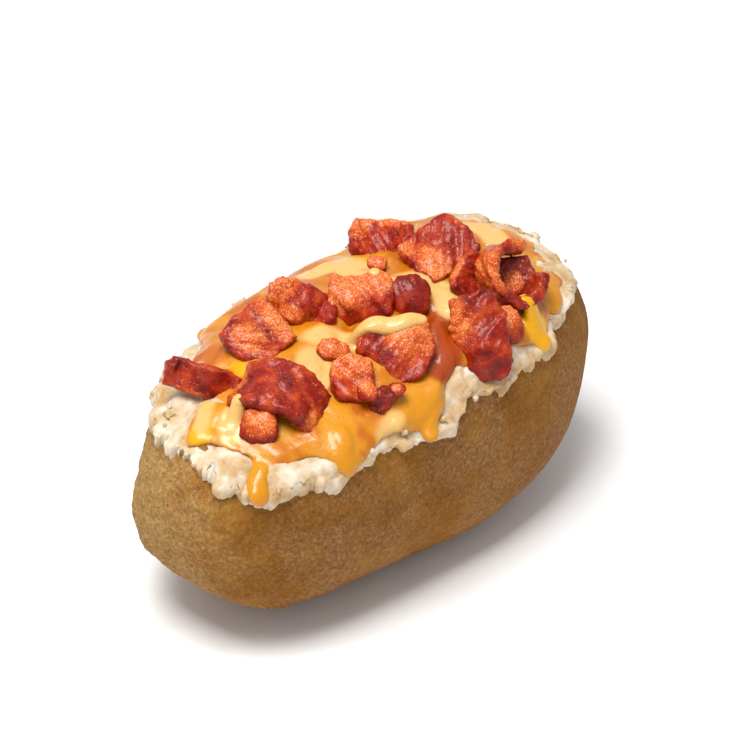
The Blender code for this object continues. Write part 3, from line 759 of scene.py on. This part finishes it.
# Painted highlight: the pale specks are real foam bubbles, and they are painted denser on faces turned up to the
# light to stand in for glints.
foam = shader_noise(tree, place, 0.42 * MM, 2.0, 0.6)
foam_and_glint_reach = maths(tree, "ADD", maths(tree, "MULTIPLY", fat_share, 0.17), maths(tree, "MULTIPLY", lit_top, 0.045))
foam_and_glint_share = smooth_step(tree, maths(tree, "ADD", foam, foam_and_glint_reach), 0.67, 0.76)
colour = mix_colours(tree, maths(tree, "MULTIPLY", foam_and_glint_share, 0.65), colour, linear("#eba268"))
tree.links.new(colour, shader.inputs["Base Color"])
shader.inputs["Roughness"].default_value = 0.34
shader.inputs["Specular IOR Level"].default_value = 0.2
shader.inputs["Subsurface Weight"].default_value = 0.2
shader.inputs["Subsurface Radius"].default_value = (1.0, 0.18, 0.06)
shader.inputs["Subsurface Scale"].default_value = 1.5 * MM
shader.inputs["Coat Weight"].default_value = 0.2
shader.inputs["Coat Roughness"].default_value = 0.06
tree.links.new(bump_of(tree, foam, 0.28 * MM, 0.8), shader.inputs["Normal"])

# %% Blisters
bacon_tree, tree_in, tree_out = new_tree(
    "fried_blisters", BuckleSize=4.5 * MM, BuckleHeight=0.9 * MM, BlisterSize=1.6 * MM,
    BlisterHeight=0.55 * MM, GrainSize=0.6 * MM, GrainHeight=0.2 * MM)
place = bacon_tree.nodes.new("GeometryNodeInputPosition").outputs[0]
buckle = noise_layer(bacon_tree, place, tree_in.outputs["BuckleSize"], tree_in.outputs["BuckleHeight"], 1.0)
blister = noise_layer(bacon_tree, place, tree_in.outputs["BlisterSize"], tree_in.outputs["BlisterHeight"], 2.0)
grain = noise_layer(bacon_tree, place, tree_in.outputs["GrainSize"], tree_in.outputs["GrainHeight"], 2.0)
relief = maths(bacon_tree, "ADD", maths(bacon_tree, "ADD", buckle, blister), grain)
close_tree(bacon_tree, push_out(bacon_tree, tree_in.outputs[0], relief), bacon_material)

# %% Strips in place
strips = []
for number, piece in enumerate(BACON, start=1):
    strip = bacon_strip(piece, number, bacon_material)
    run_tree(strip, bacon_tree)
    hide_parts(f"bacon_{number:02d}")
    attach(strip, "root")
    strips.append(strip)
print("bacon:", sum(len(strip.data.polygons) for strip in strips), "faces in", len(strips), "pieces")

# %% Crumbs of bacon
# Small broken bits lie between the strips. They are made as the strips are, only shorter.
BACON_CRUMBS = (
    Bacon((-14.8, -25.2, 60.2), (-20, 10, 20), (4.2, 3.6, 2.6), -60, -60, 0, FLAT, (0.7, 0.7),
          ((0.0, 0.0, 0.2, 0.2),), 1.0),
    Bacon((12.5, 7.1, 66.8), (-60, -5, 30), (5.0, 3.6, 2.4), -40, -60, 0, FLAT, (0.7, 0.7),
          ((0.0, 0.0, 0.6, 0.6),), 0.9),
    Bacon((-21.7, -22.2, 61.6), (-46, -10, 40), (4.4, 4.2, 3.0), -60, -60, 0, FLAT, (0.7, 0.7),
          ((0.0, 0.3, 0.5, 0.4),), 0.4),
    Bacon((33.0, -18.8, 63.7), (-120, -52, 13), (13, 11, 2.6), -20, 20, 0, FLAT, (0.8, 0.8),
          ((0.0, 0.0, 0.2, 0.2),), 1.0),
)
crumbs = []
for number, piece in enumerate(BACON_CRUMBS, start=len(BACON) + 1):
    crumb = bacon_strip(piece, number, bacon_material)
    run_tree(crumb, bacon_tree)
    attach(crumb, "root")
    crumbs.append(crumb)
print("crumbs of bacon:", len(crumbs))

# %% [markdown]
# ## Cheese sauce
# Warm cheese sauce is thick and smooth: it lies over the flesh in a rounded sheet, gathers
# in pools and ends in fat drips. The sheet is laid out in rings like the mound below it.
# Its drips and ribbons are swept beads, and a voxel remesh melts them all into one skin.

# %% Sheet of sauce
SAUCE_COLUMNS = 260
SAUCE_ROWS = 50
SAUCE_EDGE = math.radians(43.0)
SAUCE_THICK = 2.3 * MM
SAUCE_DEEP = 2.0 * MM
SAUCE_LOBES = ((178, -4, 8), (152, 14, 15), (-128, -4, 26), (-142, -5, 5), (-120, -13, 7), (-101, -13, 8), (-88, 6, 6), (-61, -10, 7),
               (-40, -6, 14), (-5, -3, 10), (38, -8, 6), (78, -12, 6), (112, -10, 7), (146, -4, 8))
around = ring_angles(SAUCE_COLUMNS)
edge = SAUCE_EDGE + lobed(around, SAUCE_LOBES) + np.radians(1.6) * wobble(np.cos(around) * 9 + np.sin(around) * 5, 81)
rings = []
for share in np.linspace(1, 0, 14):
    rings.append(mound_point(around, edge + share * (math.radians(89.6) - edge), -SAUCE_DEEP))
for share in np.linspace(0, 1, SAUCE_ROWS) ** 1.2:
    up = edge + share * (math.radians(89.6) - edge)
    sheet = mound_point(around, up)
    swell = 1 + 0.45 * wobble(sheet[:, 0] / MM * 0.16, 82) * wobble(sheet[:, 1] / MM * 0.16, 83)
    rings.append(mound_point(around, up, SAUCE_THICK * min(1.0, 0.4 + 5 * share) * swell))

# %% Ribbons and drips of sauce
# Each ribbon is a row of places along the mound in millimetres with its half-width there.
# It is laid on whatever is below it, and its tone says which kind of sauce it is. The pale
# cream tone is thick sauce, and it is also painted light where the sauce lies lit. The golden
# tone is thin and clear. The deep tone is oily and dark, and it is also painted shade where
# the bacon shades the sauce. The yellow tone is a shred of cheddar.
Ribbon = namedtuple("Ribbon", "tone path")
RIBBONS = (
    Ribbon("cream_and_lit", ((-20.5, -1.5, 1.5), (-18, 0.5, 2.2), (-14.5, -0.5, 2.9), (-11.5, -3, 3), (-10, -6, 2.9),
                     (-8.5, -9.5, 2.5), (-6, -13, 2.4), (-3, -15.5, 2.3), (1.5, -18, 1.5))),
    Ribbon("cream_and_lit", ((6, 1.5, 1.8), (10.5, 0, 2.4), (14.5, -2.5, 2.6), (17, -6.5, 2.8), (17, -11, 3),
                     (15.5, -14.5, 2.8))),
    Ribbon("deep_and_shaded", ((13, -14.5, 3.2), (7, -19, 3.8), (3, -23, 3.8), (-0.5, -25, 3.2))),
    Ribbon("golden", ((-3.5, -27.8, 2.4), (-6.5, -29.5, 2.7), (-10, -31.5, 2.3), (-12, -33.5, 2.2))),
    Ribbon("cream_and_lit", ((-19.5, -1.5, 3), (-22, -4.5, 3.8), (-25, -8.5, 3.6))),
    Ribbon("golden", ((-27.5, -17.5, 2.2), (-29, -19.5, 3.4), (-31.5, -22.5, 3.4), (-33.5, -26.5, 2.8),
                      (-33.5, -28.5, 2.4))),
    Ribbon("golden", ((-45.5, -2, 2.8), (-48, -0.5, 3.2), (-51, -1, 2.8), (-53, -1, 2.2))),
    Ribbon("yellow", ((-52, 0, 1.8), (-53.5, -0.5, 2.2))),
    Ribbon("golden", ((-48.4, -14.2, 3.0), (-50.4, -15.6, 2.9), (-52.5, -17.5, 2.6), (-54, -20, 2.8))),
    Ribbon("golden", ((44.5, -17, 2.4), (43.5, -20.5, 3), (42, -23, 3.2), (39.5, -25, 2.6))),
    Ribbon("yellow", ((29, -24.5, 1.8), (30, -26.5, 2.2), (30, -29, 2.6), (30.5, -30.5, 2.6))),
    Ribbon("cream_and_lit", ((5, 22.5, 3), (9.5, 21.5, 3.4), (12, 17.5, 3.2), (10, 10, 2.6))),
    Ribbon("yellow", ((14.5, 17, 1.3), (12.5, 12, 1.5))),
    Ribbon("cream_and_lit", ((45, 6, 2.8), (46.5, 3, 3.2), (44.5, -2.5, 2.8))),
    Ribbon("cream_and_lit", ((-44.5, -3.5, 2), (-47.5, -5, 2.6), (-49.5, -6, 2.2))),
    Ribbon("yellow", ((-39.5, 7.5, 1.8), (-37.5, 7, 2.2), (-35.5, 6.2, 1.6))),
    Ribbon("golden", ((-9, -27.5, 2.0), (-14, -28.2, 2.8), (-18, -28.8, 2.4))),
    Ribbon("cream_and_lit", ((-18.5, -28, 1.5), (-20.5, -27.8, 1.9), (-23, -27.2, 1.5))),
    Ribbon("cream_and_lit", ((-47.5, 4, 1.2), (-49.5, 2, 1.4), (-52, 0.5, 1.1))),
    Ribbon("golden", ((-20, 25, 3), (-21, 29, 2.4), (-21.5, 32, 2.5))),
    Ribbon("golden", ((17, 27, 3), (17, 31, 2.4), (18, 34, 2.5))),
)
RIBBON_STEP = 0.6       # millimetres between beads
RIBBON_FLAT = 0.6       # how high a ribbon stands, as a share of its half-width
RIBBON_SUNK = 0.1       # how far its middle lies under the ground, as a share of it too
RIBBON_MELTS = 4.0      # millimetres over which a ribbon rises out of the sheet


def smooth_path(path):
    """Close places along a smooth curve through a ribbon's few places."""
    path = np.array(path, float)
    ends = np.concatenate([2 * path[:1] - path[1:2], path, 2 * path[-1:] - path[-2:-1]])
    places = []
    for a, b, c, d in zip(ends, ends[1:], ends[2:], ends[3:]):
        count = max(2, round(float(np.linalg.norm(c[:2] - b[:2])) / RIBBON_STEP))
        for t in np.arange(count) / count:
            places.append(b + 0.5 * t * (c - a + t * (2 * a - 5 * b + 4 * c - d + t * (3 * (b - c) + d - a))))
    return np.array(places + [path[-1]])


ground = surface_of(flesh, *strips, *crumbs)
ball = bmesh.new()
bmesh.ops.create_icosphere(ball, subdivisions=2, radius=1.0)
ball_points = np.array([tuple(v.co) for v in ball.verts])
ball_faces = np.array([[v.index for v in f.verts] for f in ball.faces])
ball.free()


def lay_down(path):
    """A ribbon's beads on the ground below them: middle, half-width and the way out."""
    beads = []
    for x, y, half_width in smooth_path(path):
        top = Vector((x * MM + SHIFT[0], y * MM + SHIFT[1], 0.12))
        place, normal, _, _ = ground.ray_cast(top, Vector((0, 0, -1)))
        if place is not None:
            beads.append((*place, half_width * MM, *normal))
    beads = np.array(beads)
    for _ in range(8):
        for column in (2, 4, 5, 6):
            beads[1:-1, column] = (beads[:-2, column] + 2 * beads[1:-1, column] + beads[2:, column]) / 4
    beads[:, 4:] /= np.linalg.norm(beads[:, 4:], axis=1, keepdims=True)
    from_end = np.minimum(np.arange(len(beads)) * RIBBON_STEP / RIBBON_MELTS, 1.0)[:, None]
    beads[:, :3] -= beads[:, 4:] * beads[:, 3:4] * (RIBBON_SUNK + 0.3 * (1 - from_end) ** 2)
    return beads


laid = [(ribbon.tone, lay_down(ribbon.path)) for ribbon in RIBBONS]
points, faces = [np.array(rings).reshape(-1, 3)], []
print("ribbons and drips:", len(laid), "with", sum(len(beads) for _, beads in laid), "beads")

# %% Sauce finish
# Cheese sauce: golden and smooth, paler where it is thick, deeper where its oil gathers.
# The pale tone is also painted light on lit sauce, and the deep tone is also painted shade
# where the bacon shades it. Light goes in and comes out warmer, and the wet film on it gives
# small sharp glints.
sauce_material, tree, shader = new_material("melted_cheese_sauce")
place = tree.nodes.new("ShaderNodeTexCoord").outputs["Object"]
swirl = shader_noise(tree, place, 9 * MM, 2.0, 0.5, 0.8)
colour = shader_ramp(tree, swirl, (0.3, "#b05606"), (0.47, "#c27009"), (0.6, "#ca8318"), (0.76, "#d39c3c"))
# Painted light and shade: the pale tone also stands for lit sauce, and the deep tone for sauce in the bacon's shade.
for tone, tone_colour in (("deep_and_shaded", "#a03e06"), ("golden", "#cc870c"), ("yellow", "#dea108"),
                          ("cream_and_lit", "#dcb068")):
    share = add_node(tree, "ShaderNodeAttribute", {"attribute_name": tone}).outputs["Fac"]
    colour = mix_colours(tree, share, colour, linear(tone_colour))
tree.links.new(colour, shader.inputs["Base Color"])
shader.inputs["Roughness"].default_value = 0.3
shader.inputs["Specular IOR Level"].default_value = 0.3
shader.inputs["Subsurface Weight"].default_value = 0.35
shader.inputs["Subsurface Radius"].default_value = (1.0, 0.5, 0.15)
shader.inputs["Subsurface Scale"].default_value = 2.0 * MM
shader.inputs["Coat Weight"].default_value = 0.3
shader.inputs["Coat Roughness"].default_value = 0.06
film = shader_noise(tree, place, 1.6 * MM, 3.0, 0.55)
tree.links.new(bump_of(tree, film, 0.35 * MM, 0.6), shader.inputs["Normal"])

# %% Sauce melted together
sauce = closed_body("melted_sauce", np.array(rings), sauce_material)
shape = bmesh.new()
shape.from_mesh(sauce.data)
for _, beads in laid:
    for bead in beads:
        out = np.outer(ball_points @ bead[4:], bead[4:])
        flat_ball = ball_points - out * (1 - RIBBON_FLAT)
        corners = [shape.verts.new(Vector(p)) for p in flat_ball * bead[3] + bead[:3]]
        for face in ball_faces:
            shape.faces.new([corners[i] for i in face])
shape.to_mesh(sauce.data)
shape.free()
remesh = sauce.modifiers.new("melt_together", "REMESH")
remesh.mode = "VOXEL"
remesh.voxel_size = 0.5 * MM
relax = sauce.modifiers.new("relax", "SMOOTH")
relax.factor = 0.5
relax.iterations = 4
finish_mesh(sauce)
sauce.data.polygons.foreach_set("use_smooth", [True] * len(sauce.data.polygons))
corners = points_of(sauce)
TONE_FADE = 1.6 * MM
# These shares carry the painted light of the pale tone and the painted shade of the deep tone.
for wanted in ("deep_and_shaded", "golden", "yellow", "cream_and_lit"):
    share = np.zeros(len(corners))
    for tone, beads in laid:
        if tone == wanted:
            for bead in beads:
                away = np.linalg.norm(corners - bead[:3], axis=1) - bead[3]
                share = np.maximum(share, np.clip(1.15 - away / TONE_FADE, 0, 1))
    marks = sauce.data.attributes.new(wanted, "FLOAT", "POINT")
    marks.data.foreach_set("value", share * share * (3 - 2 * share))
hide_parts("cheese_sauce")
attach(sauce, "root")
print("sauce:", len(sauce.data.polygons), "faces")
